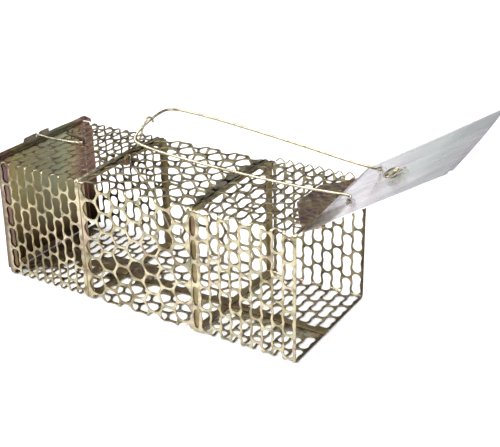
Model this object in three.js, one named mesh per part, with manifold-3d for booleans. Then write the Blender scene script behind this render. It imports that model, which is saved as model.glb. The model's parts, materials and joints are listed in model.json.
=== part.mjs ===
// A live catch trap: a wire-mesh like cage of perforated sheet, a sprung door on the
// front, a lock loop that holds the door open, a trigger with its bait hook, and a
// rear release door with a wire latch.
// Millimetres. +X is the front (the door end), +Z is up, -Y is the near side.
// The origin is the middle of the cage's underside.

import * as THREE from 'three';
import { mergeVertices } from 'three/addons/utils/BufferGeometryUtils.js';
import Module from 'manifold-3d';

const wasm = await Module();
wasm.setup();

// ---------------------------------------------------------------- driving dimensions

const CAGE = { length: 322, width: 130, height: 120, sheet: 1 };
const SEAMS = { rear: -60, front: 59.5 }; // where one band of sheet meets the next
const GAP = 0.3; // clearance between touching pieces
const HALF_LENGTH = CAGE.length / 2;
const HALF_WIDTH = CAGE.width / 2;

const SLOT = { width: 8, length: 20.4, columnPitch: 10.3, rowPitch: 22.6, stagger: 6.4, first: 17.6 };
const ROUND = { radius: 8.6, columnPitch: 16.4, rowPitch: 19, stagger: 9.5, first: 17.5 };
const PANEL_MARGIN = 4; // solid strip along every panel edge
const FLOOR_SEAM = { low: -13, high: 1.5 }; // where the ends of each band overlap

const DOOR = { length: 138.5, width: 131, sheet: 1, cornerRadius: 9, bow: 2, lip: 10.5 };
const DOOR_OPEN_ANGLE = THREE.MathUtils.degToRad(32.7); // above horizontal, at rest
const HINGE = {
  centre: new THREE.Vector3(175.6, 0, 130.8),
  yaw: THREE.MathUtils.degToRad(2.9), // the rod sits a little askew in its ears
  tilt: THREE.MathUtils.degToRad(2.69),
  rodRadius: 1.25,
  rodStart: -58,
  rodEnd: 51,
  earRadius: 2.3,
  earHoleRadius: 1.6,
};
const DOOR_INNER_FACE = HINGE.earRadius + GAP; // sheet's distance from the rod's axis
const DOOR_OUTER_FACE = DOOR_INNER_FACE + DOOR.sheet;
const DOOR_SKEW = THREE.MathUtils.degToRad(-1); // the sheet isn't quite square to its rod

const LOOP = { wireRadius: 1.25, pivotAlongDoor: 18.5, nearFoot: -28.5, farFoot: 31, footLength: 5.5 };
const LOOP_PIVOT_HEIGHT = DOOR_OUTER_FACE + GAP + LOOP.wireRadius;

const TRIGGER = { pivot: new THREE.Vector3(-50, -6, 124.4), wireRadius: 0.9, pinRadius: 1 };
const REAR_DOOR = {
  topFace: -161.6, // X of the inner face at the top; the sheet leans out towards its hinge
  bottomFace: -166,
  sheet: 1,
  width: 128,
  bottom: 5.2,
  top: 125.5,
  tabHeight: 4,
  tabs: [[-26, -9], [-4.5, 10]],
  flangeEdge: -151.5,
  hinge: new THREE.Vector3(-168.4, 0, 2.7),
  hingeHalfLength: 40,
  knuckleRadius: 1.9,
  pinRadius: 1,
};
const LATCH = { pivot: new THREE.Vector3(-118, 9.5, 122.2), notch: -6.75, wireRadius: 1.1 };
const FLOOR_PLATE = { low: [-94, -15.5, 1.3], high: [-30, 14, 2.1] };
const REAR_FLOOR_PLATE = {
  thickness: 0.8,
  corners: [[-160, -42], [-134, -40], [-126, -33], [-119, -10], [-134.5, 19], [-148, 42], [-160, 42]],
};

// ---------------------------------------------------------------- materials

const metal = (color, roughness, metalness) =>
  new THREE.MeshStandardMaterial({ color, roughness, metalness });
const chromatedMesh = metal(0x9c8754, 0.4, 0.85);
const chromatedSheet = metal(0x6d5b40, 0.4, 0.85);
const goldWire = metal(0xcbbd8c, 0.3, 0.9);
const galvanised = metal(0xc4c7cb, 0.3, 0.9);

// ---------------------------------------------------------------- helpers

const trap = new THREE.Group();

function addPiece(name, geometry, material, parent = trap) {
  const mesh = new THREE.Mesh(geometry, material);
  mesh.name = name;
  parent.add(mesh);
  return mesh;
}

function toSolid(geometry) {
  const bare = geometry.index ? geometry.toNonIndexed() : geometry.clone();
  bare.deleteAttribute('normal');
  bare.deleteAttribute('uv');
  const merged = mergeVertices(bare, 1e-4);
  const mesh = new wasm.Mesh({
    numProp: 3,
    vertProperties: new Float32Array(merged.attributes.position.array),
    triVerts: new Uint32Array(merged.index.array),
  });
  return new wasm.Manifold(mesh);
}

function toGeometry(solid) {
  const mesh = solid.getMesh();
  const geometry = new THREE.BufferGeometry();
  geometry.setAttribute('position', new THREE.BufferAttribute(mesh.vertProperties, 3));
  geometry.setIndex(new THREE.BufferAttribute(mesh.triVerts, 1));
  geometry.computeVertexNormals();
  return geometry;
}

function join(...geometries) {
  return toGeometry(geometries.map(toSolid).reduce((whole, next) => whole.add(next)));
}

function box(low, high) {
  const size = high.map((value, axis) => value - low[axis]);
  const geometry = new THREE.BoxGeometry(...size);
  geometry.translate(...low.map((value, axis) => value + size[axis] / 2));
  return geometry;
}

function extrude(shape, depth, curveSegments = 6) {
  return new THREE.ExtrudeGeometry(shape, { depth, bevelEnabled: false, curveSegments });
}

// A flat shape drawn in X and Z, given its thickness along Y around the plane y.
function plateAcrossY(shape, y, thickness, curveSegments) {
  const geometry = extrude(shape, thickness, curveSegments);
  geometry.rotateX(Math.PI / 2);
  geometry.translate(0, y + thickness / 2, 0);
  return geometry;
}

function polygonSection(radius, sides) {
  const corners = [];
  for (let i = 0; i < sides; i += 1) {
    const angle = (i * 2 * Math.PI) / sides;
    corners.push(new THREE.Vector2(radius * Math.cos(angle), radius * Math.sin(angle)));
  }
  return new THREE.Shape(corners);
}

// A round wire bent through the given points.
function wire(points, radius, steps, sides = 8) {
  const path = new THREE.CatmullRomCurve3(
    points.map((point) => new THREE.Vector3(...point)), false, 'centripetal');
  return new THREE.ExtrudeGeometry(polygonSection(radius, sides), {
    steps,
    extrudePath: path,
    bevelEnabled: false,
  });
}

function rodAlongY(radius, start, end, sides = 12) {
  const geometry = new THREE.CylinderGeometry(radius, radius, end - start, sides);
  geometry.translate(0, (start + end) / 2, 0);
  return geometry;
}

// ---------------------------------------------------------------- perforated bands

// Every hole is a short prism standing through the sheet, ready to be cut away.
function holePrism(corners) {
  const outline = new THREE.Shape(corners.map((corner) => new THREE.Vector2(...corner)));
  const prism = extrude(outline, CAGE.sheet + 2);
  prism.translate(0, 0, -1);
  return prism;
}

function slotHole(x, halfWidth, bottom, top) {
  return holePrism([
    [x - halfWidth, bottom], [x + halfWidth, bottom], [x + halfWidth, top], [x - halfWidth, top],
  ]);
}

function diamondHole(x, halfWidth, bottom, top) {
  const centre = (bottom + top) / 2;
  return holePrism([[x - halfWidth, centre], [x, bottom], [x + halfWidth, centre], [x, top]]);
}

const SLOTS = { ...SLOT, hole: slotHole, halfWidth: SLOT.width / 2, halfLength: SLOT.length / 2 };
const ROUNDS = { ...ROUND, hole: diamondHole, halfWidth: ROUND.radius, halfLength: ROUND.radius };
const SHORTEST_SLOT = 6; // a slot trimmed by the margin to less than this is left out

// Holes in staggered columns, trimmed where they would reach into the margins.
function holesAcross(x0, x1, [low, high], pattern) {
  const holes = [];
  const columns = Math.floor((x1 - x0 - 2 * PANEL_MARGIN) / pattern.columnPitch);
  const firstColumn = (x0 + x1 - (columns - 1) * pattern.columnPitch) / 2;
  const shortest = pattern.hole === slotHole ? SHORTEST_SLOT : 2 * pattern.halfLength - 0.01;
  for (let column = 0; column < columns; column += 1) {
    const x = firstColumn + column * pattern.columnPitch;
    let centre = low + pattern.first - pattern.rowPitch + (column % 2) * pattern.stagger;
    for (; centre < high + pattern.rowPitch; centre += pattern.rowPitch) {
      const bottom = Math.max(centre - pattern.halfLength, low + PANEL_MARGIN);
      const top = Math.min(centre + pattern.halfLength, high - PANEL_MARGIN);
      if (top - bottom >= shortest) {
        holes.push(pattern.hole(x, pattern.halfWidth, bottom, top));
      }
    }
  }
  return holes;
}

// Fields are the stretches across the panel that hold holes; what lies between is solid.
function panelGeometry(x0, x1, [low, high], fields, pattern, cutouts = []) {
  const sheet = toSolid(box([x0, low, 0], [x1, high, CAGE.sheet]));
  const holes = fields.flatMap((field) => holesAcross(x0, x1, field, pattern));
  const cutAway = [...holes, ...cutouts].map(toSolid);
  return toGeometry(cutAway.reduce((left, hole) => left.subtract(hole), sheet));
}

function addBand(name, x0, x1, pattern, roofCutouts) {
  const height = [CAGE.sheet + GAP, CAGE.height - CAGE.sheet - GAP];
  for (const [side, y] of [['near', -HALF_WIDTH + CAGE.sheet], ['far', HALF_WIDTH]]) {
    const wall = panelGeometry(x0, x1, height, [height], pattern);
    wall.rotateX(Math.PI / 2);
    wall.translate(0, y, 0);
    addPiece(`${name}_${side}_wall`, wall, chromatedMesh);
  }
  const width = [-HALF_WIDTH, HALF_WIDTH];
  const roof = panelGeometry(x0, x1, width, [width], pattern, roofCutouts);
  roof.translate(0, 0, CAGE.height - CAGE.sheet);
  addPiece(`${name}_roof`, roof, chromatedMesh);
  const besideSeam = [
    [-HALF_WIDTH, FLOOR_SEAM.low + PANEL_MARGIN],
    [FLOOR_SEAM.high - PANEL_MARGIN, HALF_WIDTH],
  ];
  addPiece(`${name}_floor`, panelGeometry(x0, x1, width, besideSeam, pattern), chromatedMesh);
}

function addFloorPlate() {
  addPiece('floor_plate', box(FLOOR_PLATE.low, FLOOR_PLATE.high), chromatedSheet);
}

function addRearFloorPlate() {
  const corners = REAR_FLOOR_PLATE.corners.map(([x, y]) => new THREE.Vector2(x, y));
  const plate = extrude(new THREE.Shape(corners), REAR_FLOOR_PLATE.thickness);
  plate.translate(0, 0, CAGE.sheet + GAP);
  addPiece('rear_floor_plate', plate, chromatedSheet);
}

function addBands() {
  const { pivot } = TRIGGER;
  const triggerSlot = box([pivot.x - 6, pivot.y - 4, -1], [pivot.x + 20, pivot.y + 4, 2]);
  addBand('rear', -HALF_LENGTH, SEAMS.rear - GAP, SLOTS);
  addBand('middle', SEAMS.rear, SEAMS.front - GAP, ROUNDS, [triggerSlot]);
  addBand('front', SEAMS.front, HALF_LENGTH, SLOTS);
}

// ---------------------------------------------------------------- front hinge

// The rod's own frame: y along the rod, x along the open door, z out of its outer face.
const hingeFrame = new THREE.Group();
hingeFrame.rotation.order = 'ZXY';
hingeFrame.rotation.set(HINGE.tilt, -DOOR_OPEN_ANGLE, HINGE.yaw);
hingeFrame.position.copy(HINGE.centre);
hingeFrame.updateMatrix();
trap.add(hingeFrame);

function fromHingeFrame(x, y, z) {
  return new THREE.Vector3(x, y, z).applyMatrix4(hingeFrame.matrix);
}

// One upright ear of the hinge plate: an arm from the plate up to the eye for the rod.
function hingeEar(y, plateTop) {
  const eye = fromHingeFrame(0, y, 0);
  const base = plateTop - 0.5 - eye.z;
  const shape = new THREE.Shape();
  shape.moveTo(-28, base);
  shape.lineTo(-13, base);
  shape.lineTo(1.2, -1.96);
  shape.absarc(0, 0, HINGE.earRadius, -1.02, Math.PI / 2 + DOOR_OPEN_ANGLE, false);
  shape.lineTo(-12.5, -5.3);
  shape.closePath();
  const hole = new THREE.Path();
  hole.absarc(0, 0, HINGE.earHoleRadius, 0, 2 * Math.PI, true);
  shape.holes.push(hole);
  const ear = plateAcrossY(shape, eye.y, 1.2);
  ear.translate(eye.x, 0, eye.z);
  return ear;
}

function addHingePlate() {
  const bottom = CAGE.height + GAP;
  const outline = new THREE.Shape([
    new THREE.Vector2(132, -12),
    new THREE.Vector2(151, -42),
    new THREE.Vector2(163, -57),
    new THREE.Vector2(163, 50),
    new THREE.Vector2(151, 50),
    new THREE.Vector2(141, 41),
    new THREE.Vector2(132, 30),
  ]);
  const plate = extrude(outline, CAGE.sheet);
  plate.translate(0, 0, bottom);
  const top = bottom + CAGE.sheet;
  const ears = [-54, 47].map((y) => hingeEar(y, top));
  addPiece('front_hinge_plate', join(plate, ...ears), chromatedSheet);
}

function addHingeRod() {
  const rod = rodAlongY(HINGE.rodRadius, HINGE.rodStart, HINGE.rodEnd);
  addPiece('door_hinge_rod', rod, goldWire, hingeFrame);
}

// A close coil round the rod, whose tail lies back over the hinge plate.
function addDoorSpring(name, start) {
  const coil = { radius: 2, turns: 5, pitch: 1.05, stepsPerTurn: 8 };
  const points = [];
  for (let i = 0; i <= coil.turns * coil.stepsPerTurn; i += 1) {
    const angle = (i * 2 * Math.PI) / coil.stepsPerTurn - Math.PI / 2;
    const y = start + (coil.pitch * i) / coil.stepsPerTurn;
    const around = fromHingeFrame(coil.radius * Math.cos(angle), y, coil.radius * Math.sin(angle));
    points.push(around.toArray());
  }
  const last = fromHingeFrame(-2.2, start + coil.turns * coil.pitch + 0.2, -2.6);
  const tail = new THREE.Vector3(152, last.y, CAGE.height + CAGE.sheet + 1.2);
  points.push(last.toArray(), tail.toArray());
  addPiece(name, wire(points, 0.4, 60, 5), goldWire);
}

// ---------------------------------------------------------------- door

// Drawn square to its own edges, then turned by the skew about the middle of the rod.
function doorOutline() {
  const half = DOOR.width / 2;
  const end = DOOR.length - DOOR.lip;
  const side = end - DOOR.bow;
  const radius = DOOR.cornerRadius;
  const outline = new THREE.Shape();
  outline.moveTo(-DOOR.lip, -half);
  outline.lineTo(side - radius, -half);
  outline.quadraticCurveTo(side, -half, side, -half + radius);
  outline.quadraticCurveTo(end + DOOR.bow, 0, side, half - radius);
  outline.quadraticCurveTo(side, half, side - radius, half);
  outline.lineTo(-DOOR.lip, half);
  outline.closePath();
  return outline;
}

function addDoorPlate() {
  const plate = extrude(doorOutline(), DOOR.sheet);
  plate.rotateZ(DOOR_SKEW);
  plate.translate(0, 0, DOOR_INNER_FACE);
  addPiece('door_plate', plate, galvanised, hingeFrame);
}

// A strip rolled round the rod, whose leaf lies under the door.
function addDoorKnuckle(name, y) {
  const outer = HINGE.earRadius;
  const shape = new THREE.Shape();
  shape.moveTo(17, outer);
  shape.lineTo(0, outer);
  shape.absarc(0, 0, outer, Math.PI / 2, 1.9 * Math.PI, false);
  shape.lineTo(4, outer - 0.9);
  shape.lineTo(17, outer - 0.9);
  shape.closePath();
  const hole = new THREE.Path();
  hole.absarc(0, 0, HINGE.rodRadius + 0.2, 0, 2 * Math.PI, true);
  shape.holes.push(hole);
  addPiece(name, plateAcrossY(shape, y, 14), galvanised, hingeFrame);
}

// A small arched strip that holds one foot of the lock loop on the door.
function addLoopStaple(name, y) {
  const inner = LOOP.wireRadius + 0.25;
  const outer = inner + 0.7;
  const base = DOOR_OUTER_FACE + GAP - LOOP_PIVOT_HEIGHT;
  const shape = new THREE.Shape();
  shape.moveTo(outer + 2, base);
  shape.lineTo(outer + 2, base + 0.7);
  shape.lineTo(outer, base + 0.7);
  shape.absarc(0, 0, outer, 0, Math.PI, false);
  shape.lineTo(-outer - 2, base + 0.7);
  shape.lineTo(-outer - 2, base);
  shape.lineTo(-inner, base);
  shape.absarc(0, 0, inner, Math.PI, 0, true);
  shape.lineTo(inner, base);
  shape.closePath();
  const staple = plateAcrossY(shape, y, 2.4);
  staple.translate(LOOP.pivotAlongDoor, 0, LOOP_PIVOT_HEIGHT);
  addPiece(name, staple, galvanised, hingeFrame);
}

// A wire wound into three flat turns on the middle of the door, with one long leg.
function addDoorClip() {
  const turn = { halfLength: 6.2, halfHeight: 4.4, rise: 4, turns: 3, stepsPerTurn: 12 };
  const centre = new THREE.Vector3(50, -8, DOOR_OUTER_FACE + GAP + turn.halfHeight + 1);
  const points = [];
  for (let i = 0; i <= turn.turns * turn.stepsPerTurn; i += 1) {
    const angle = (i * 2 * Math.PI) / turn.stepsPerTurn - Math.PI / 2;
    points.push([
      centre.x + turn.halfLength * Math.cos(angle),
      centre.y + turn.rise * (i / turn.stepsPerTurn - turn.turns / 2),
      centre.z + turn.halfHeight * Math.sin(angle),
    ]);
  }
  const last = points[points.length - 1];
  points.push([last[0] + 6, last[1] + 1, last[2]], [last[0] + 16, last[1] + 2, last[2]]);
  addPiece('door_wire_clip', wire(points, 0.9, 64, 6), goldWire, hingeFrame);
}

// ---------------------------------------------------------------- lock loop

function addLockLoop() {
  const pivot = (y) => fromHingeFrame(LOOP.pivotAlongDoor, y, LOOP_PIVOT_HEIGHT).toArray();
  const nearPivot = pivot(LOOP.nearFoot + 1.6);
  const farPivot = pivot(LOOP.farFoot - 1.6);
  const lift = 1.2;
  const points = [
    pivot(LOOP.nearFoot - LOOP.footLength),
    pivot(LOOP.nearFoot - 0.8),
    [nearPivot[0] - 2, nearPivot[1], nearPivot[2] + lift],
    [174, -27, 144.6],
    [144, -28, 143.9],
    [97, -28, 144],
    [40, -28, 145.6],
    [-7, -28, 149],
    [-20, -28, 151.6],
    [-24.4, -26.6, 153.2],
    [-25.6, -22.5, 156.6],
    [-25.4, -12, 161.2],
    [-25, 2, 164.8],
    [-24.6, 14, 166.6],
    [-23, 23, 166.8],
    [-17, 29, 166],
    [-8, 31, 165.2],
    [20, 31, 163.8],
    [100, 31, 155.8],
    [160, 31, 148.6],
    [farPivot[0] - 5, farPivot[1], farPivot[2] + lift],
    pivot(LOOP.farFoot + 0.8),
    pivot(LOOP.farFoot + LOOP.footLength),
  ];
  addPiece('lock_loop', wire(points, LOOP.wireRadius, 84, 8), goldWire);
}

// ---------------------------------------------------------------- trigger

// A strip folded up into two ears that carry the trigger's pin above the roof.
function addTriggerBracket() {
  const { pivot, pinRadius } = TRIGGER;
  const bottom = CAGE.height + GAP;
  const top = bottom + 0.8;
  const reach = 6;
  const earGap = 3.2;
  const ears = [-1, 1].map((side) => {
    const shape = new THREE.Shape();
    shape.moveTo(-4, top - 0.4 - pivot.z);
    shape.lineTo(4, top - 0.4 - pivot.z);
    shape.lineTo(2.4, 0);
    shape.absarc(0, 0, 2.4, 0, Math.PI, false);
    shape.closePath();
    const hole = new THREE.Path();
    hole.absarc(0, 0, pinRadius + 0.2, 0, 2 * Math.PI, true);
    shape.holes.push(hole);
    const ear = plateAcrossY(shape, pivot.y + side * earGap, 0.8);
    ear.translate(pivot.x, 0, pivot.z);
    return ear;
  });
  const feet = [-1, 1].map((side) => {
    const inner = pivot.y + side * (earGap - 0.4);
    const outer = pivot.y + side * (earGap + reach);
    return box([pivot.x - 8, Math.min(inner, outer), bottom], [pivot.x + 5, Math.max(inner, outer), top]);
  });
  const bridge = box(
    [pivot.x - 8, pivot.y - earGap, bottom], [pivot.x - 5.6, pivot.y + earGap, top]);
  addPiece('trigger_bracket', join(bridge, ...feet, ...ears), chromatedSheet);
}

function addTriggerPin() {
  const { pivot, pinRadius } = TRIGGER;
  const pin = rodAlongY(pinRadius, -5.2, 5.2, 10);
  pin.translate(pivot.x, pivot.y, pivot.z);
  addPiece('trigger_pin', pin, goldWire);
}

// One wire: the eye in front of the loop's end bar, a turn round the pin, the bait hook.
function addTriggerWire() {
  const { pivot, wireRadius, pinRadius } = TRIGGER;
  const turnRadius = pinRadius + wireRadius + 0.25;
  const turn = { steps: 16, angle: Math.PI / 6, firstAngle: 1.45, rise: 0.18 };
  const points = [
    [-21.2, -2.6, 163.2],
    [-20.6, -4.4, 166.4],
    [-19.9, -8.4, 169.6],
    [-19.8, -12.6, 170],
    [-20.4, -16, 166],
    [-21.6, -18.8, 160],
    [-22.6, -19, 155.4],
    [-29, -16.8, 147],
    [-41, -11, 135],
    [-48.6, -7.6, 128.5],
  ];
  for (let i = 0; i <= turn.steps; i += 1) {
    const angle = turn.firstAngle + i * turn.angle;
    points.push([
      pivot.x + turnRadius * Math.cos(angle),
      pivot.y - 1.4 + i * turn.rise,
      pivot.z + turnRadius * Math.sin(angle),
    ]);
  }
  points.push(
    [-49.4, -4.4, 119.8],
    [-43, -5, 112.5],
    [-31, -6, 104],
    [-18, -6, 84],
    [-9, -6, 67],
    [-5, -6, 58],
    [0, -6, 54],
    [5, -6, 57],
    [6, -6, 64],
  );
  addPiece('trigger_wire', wire(points, wireRadius, 100, 6), goldWire);
}

// ---------------------------------------------------------------- rear door and latch

// The leaning sheet's outline seen from the side, between its bottom and the given top.
function leaningOutline(inner, top) {
  const { topFace, bottomFace, bottom, sheet } = REAR_DOOR;
  const slope = (topFace - bottomFace) / (REAR_DOOR.top - bottom);
  const faceAt = (z) => bottomFace + slope * (z - bottom);
  return new THREE.Shape([
    new THREE.Vector2(faceAt(bottom) - sheet, bottom),
    new THREE.Vector2(inner ?? faceAt(bottom), bottom),
    new THREE.Vector2(inner ?? faceAt(top), top),
    new THREE.Vector2(faceAt(top) - sheet, top),
  ]);
}

function addRearDoor() {
  const { sheet, width, top, tabs, tabHeight, flangeEdge, hinge, knuckleRadius } = REAR_DOOR;
  const panel = plateAcrossY(leaningOutline(undefined, top), 0, width);
  const curls = tabs.map(([y0, y1]) => {
    const outline = leaningOutline(undefined, top + tabHeight);
    return plateAcrossY(outline, (y0 + y1) / 2, y1 - y0);
  });
  const flangeMiddle = HALF_WIDTH - CAGE.sheet - 0.6 - sheet / 2;
  const flangeTop = CAGE.height - CAGE.sheet - 2;
  const flanges = [-1, 1].map(
    (side) => plateAcrossY(leaningOutline(flangeEdge, flangeTop), side * flangeMiddle, sheet));
  const ring = new THREE.Shape();
  ring.absarc(0, 0, knuckleRadius, 0, 2 * Math.PI, false);
  const knuckle = plateAcrossY(ring, 0, 2 * REAR_DOOR.hingeHalfLength);
  knuckle.translate(hinge.x, 0, hinge.z);
  const half = REAR_DOOR.hingeHalfLength;
  const web = box([hinge.x, -half, hinge.z + 1], [REAR_DOOR.bottomFace, half, REAR_DOOR.bottom + 0.6]);
  const bore = rodAlongY(REAR_DOOR.pinRadius + 0.3, -half - 5, half + 5, 10);
  bore.translate(hinge.x, 0, hinge.z);
  const whole = toSolid(join(panel, ...curls, ...flanges, knuckle, web));
  addPiece('rear_door', toGeometry(whole.subtract(toSolid(bore))), chromatedSheet);
}

function addRearHinge() {
  const { hinge, pinRadius, knuckleRadius } = REAR_DOOR;
  const pin = rodAlongY(pinRadius, -54, 54, 10);
  pin.translate(hinge.x, 0, hinge.z);
  addPiece('rear_hinge_pin', pin, goldWire);
  for (const [name, y] of [['rear_hinge_clip_near', -47], ['rear_hinge_clip_far', 47]]) {
    const leafBottom = CAGE.sheet + GAP - hinge.z; // the leaf lies on the floor, inside
    const shape = new THREE.Shape();
    shape.moveTo(22, leafBottom);
    shape.lineTo(22, leafBottom + 0.8);
    shape.lineTo(1.7, leafBottom + 0.8);
    shape.absarc(0, 0, knuckleRadius, -0.32, Math.asin(leafBottom / knuckleRadius) - 0.01, false);
    shape.closePath();
    const hole = new THREE.Path();
    hole.absarc(0, 0, pinRadius + 0.2, 0, 2 * Math.PI, true);
    shape.holes.push(hole);
    const clip = plateAcrossY(shape, y, 8);
    clip.translate(hinge.x, 0, hinge.z);
    addPiece(name, clip, chromatedSheet);
  }
}

// A hairpin: one leg lies in the notch of the rear door, and its bend turns in the staple.
function addRearLatch() {
  const { pivot, notch, wireRadius } = LATCH;
  const overEdge = REAR_DOOR.top + wireRadius + 0.5;
  const points = [
    [REAR_DOOR.topFace - 4, notch, overEdge],
    [-158, notch + 0.2, overEdge],
    [-150, notch + 3, 125],
    [-136, 1.6, 122.8],
    [-124, 5, pivot.z],
    [pivot.x - 0.6, 7, pivot.z],
    [pivot.x, 9.5, pivot.z],
    [pivot.x - 0.8, 12, pivot.z],
    [-124, 14, pivot.z],
    [-134, 17, pivot.z + 0.3],
    [-148, 19, pivot.z + 1.2],
  ];
  addPiece('rear_latch_wire', wire(points, wireRadius, 40, 8), goldWire);
}

function addLatchStaple() {
  const { pivot, wireRadius } = LATCH;
  const inner = wireRadius + 0.3;
  const outer = inner + 0.7;
  const base = CAGE.height + GAP - pivot.z;
  const shape = new THREE.Shape();
  shape.moveTo(outer + 3, base);
  shape.lineTo(outer + 3, base + 0.7);
  shape.lineTo(outer, base + 0.7);
  shape.absarc(0, 0, outer, 0, Math.PI, false);
  shape.lineTo(-outer - 3, base + 0.7);
  shape.lineTo(-outer - 3, base);
  shape.lineTo(-inner, base);
  shape.absarc(0, 0, inner, Math.PI, 0, true);
  shape.lineTo(inner, base);
  shape.closePath();
  const staple = plateAcrossY(shape, pivot.y, 2.2);
  staple.translate(pivot.x, 0, pivot.z);
  addPiece('rear_latch_staple', staple, chromatedSheet);
}

// ---------------------------------------------------------------- assembly

addBands();
addFloorPlate();
addRearFloorPlate();
addHingePlate();
addHingeRod();
addDoorSpring('door_spring_near', -9);
addDoorSpring('door_spring_far', 8);
addDoorPlate();
addDoorKnuckle('door_knuckle_near', -38);
addDoorKnuckle('door_knuckle_far', 34);
addLoopStaple('loop_staple_near', LOOP.nearFoot - 3);
addLoopStaple('loop_staple_far', LOOP.farFoot + 3);
addDoorClip();
addLockLoop();
addTriggerBracket();
addTriggerPin();
addTriggerWire();
addRearDoor();
addRearHinge();
addRearLatch();
addLatchStaple();

export default trap;
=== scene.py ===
"""Looks and light for a live catch trap of perforated, yellow-chromated sheet."""

import json
import math

import bmesh
import bpy
import numpy as np
from mathutils import Matrix, Vector, noise


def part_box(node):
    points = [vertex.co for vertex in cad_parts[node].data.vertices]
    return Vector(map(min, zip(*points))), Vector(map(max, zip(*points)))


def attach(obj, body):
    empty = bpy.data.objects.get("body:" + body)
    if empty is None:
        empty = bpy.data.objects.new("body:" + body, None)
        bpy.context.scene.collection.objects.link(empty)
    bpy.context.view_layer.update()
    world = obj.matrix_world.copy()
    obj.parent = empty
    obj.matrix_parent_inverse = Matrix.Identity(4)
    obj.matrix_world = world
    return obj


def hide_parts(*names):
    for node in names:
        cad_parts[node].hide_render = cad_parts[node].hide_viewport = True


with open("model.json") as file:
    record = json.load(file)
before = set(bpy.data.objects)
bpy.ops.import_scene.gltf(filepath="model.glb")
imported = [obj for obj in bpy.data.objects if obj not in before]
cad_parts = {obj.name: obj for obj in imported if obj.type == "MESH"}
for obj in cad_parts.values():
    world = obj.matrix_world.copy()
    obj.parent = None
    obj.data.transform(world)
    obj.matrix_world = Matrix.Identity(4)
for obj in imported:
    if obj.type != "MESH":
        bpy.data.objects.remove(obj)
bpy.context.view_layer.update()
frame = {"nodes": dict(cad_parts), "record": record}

# Lengths are in millimetres until a mesh is finished; +X is the front, -Y the near side.
MM = 0.001

# ------------------------------------------------------------------ dimensions


def corner_of(node, which):
    """The lowest (0) or highest (1) corner of a CAD node, to a tenth of a millimetre."""
    return [round(value / MM, 1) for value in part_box(node)[which]]


def centre_of(node):
    """The middle of a CAD node, to a tenth of a millimetre."""
    low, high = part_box(node)
    return [round((a + b) / 2 / MM, 1) for a, b in zip(low, high)]


HALF_LENGTH, HALF_WIDTH, HEIGHT = corner_of("front_roof", 1)
SHEET = corner_of("front_floor", 1)[2]
REAR_SEAM = corner_of("middle_roof", 0)[0]
FRONT_SEAM = corner_of("front_roof", 0)[0]
BEND_RADIUS = 3.5
FLOOR_SEAM = (-14.0, -5.0)  # Y where the two ends of each band overlap
TUCK = 1.12  # how far an overlapped edge is set inwards
TUCK_RUN = 2  # the length over which a seam's edge is set inwards
FLOOR_TUCK_RUN = (12, 9.5)  # where the floor lap steps inwards, from the end of the girth
NO_TUCK = 999  # a place beyond every sheet

HINGE_CENTRE = Vector((175.6, 0, 130.8))
HINGE_YAW = math.radians(2.9)
HINGE_TILT = math.radians(2.69)
DOOR_ANGLE = math.radians(32.7)
DOOR_SKEW = math.radians(-1)
DOOR_INNER_FACE = 2.6
DOOR_OUTER_FACE = 3.6
LOOP_RADIUS = 1.25
LOOP_ALONG_DOOR = 18.5
LOOP_HEIGHT = DOOR_OUTER_FACE + 0.3 + LOOP_RADIUS

HINGE_FRAME = (
    Matrix.Translation(HINGE_CENTRE)
    @ Matrix.Rotation(HINGE_YAW, 4, "Z")
    @ Matrix.Rotation(HINGE_TILT, 4, "X")
    @ Matrix.Rotation(-DOOR_ANGLE, 4, "Y")
)


def on_door(x, y, z):
    """A point given along the door, along its rod, and out of its outer face."""
    return tuple(HINGE_FRAME @ Vector((x, y, z)))


# ------------------------------------------------------------------ mesh helpers


def finish_mesh(obj, body, replaced=(), sharp=32):
    """Turns millimetres into metres and hands the piece to its body."""
    mesh = obj.data
    mesh.transform(Matrix.Scale(MM, 4))
    mesh.shade_smooth()
    mesh.set_sharp_from_angle(angle=math.radians(sharp))
    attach(obj, body)
    if replaced:
        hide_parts(*replaced)
    return obj


def new_object(name, mesh):
    obj = bpy.data.objects.new(name, mesh)
    bpy.context.scene.collection.objects.link(obj)
    return obj


def mesh_of_curve(curve):
    holder = new_object(curve.name + "_curve", curve)
    depsgraph = bpy.context.evaluated_depsgraph_get()
    mesh = bpy.data.meshes.new_from_object(holder.evaluated_get(depsgraph))
    bpy.data.objects.remove(holder)
    bpy.data.curves.remove(curve)
    return mesh


def flat_sheet(name, outlines, thickness=SHEET, edge=0.16, steps=1):
    """A flat sheet with rounded edges. The first outline is the rim, the others are holes."""
    curve = bpy.data.curves.new(name, "CURVE")
    curve.dimensions = "2D"
    curve.fill_mode = "BOTH"
    curve.extrude = thickness / 2 - edge
    curve.bevel_depth = edge
    curve.bevel_resolution = steps
    curve.offset = -edge
    for outline in outlines:
        spline = curve.splines.new("POLY")
        spline.points.add(len(outline) - 1)
        flat = [value for x, y in outline for value in (x, y, 0, 1)]
        spline.points.foreach_set("co", flat)
        spline.use_cyclic_u = True
    return mesh_of_curve(curve)


def cut_across(mesh, places, axis=1):
    """Adds edge lines across a flat sheet, where it is to bend."""
    normal = Vector([float(i == axis) for i in range(3)])
    work = bmesh.new()
    work.from_mesh(mesh)
    for place in places:
        geometry = work.verts[:] + work.edges[:] + work.faces[:]
        bmesh.ops.bisect_plane(
            work, geom=geometry, plane_co=normal * place, plane_no=normal
        )
    bmesh.ops.remove_doubles(work, verts=work.verts[:], dist=1e-4)
    work.to_mesh(mesh)
    work.free()


def reshape(mesh, function):
    for vertex in mesh.vertices:
        vertex.co = function(*vertex.co)


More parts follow.
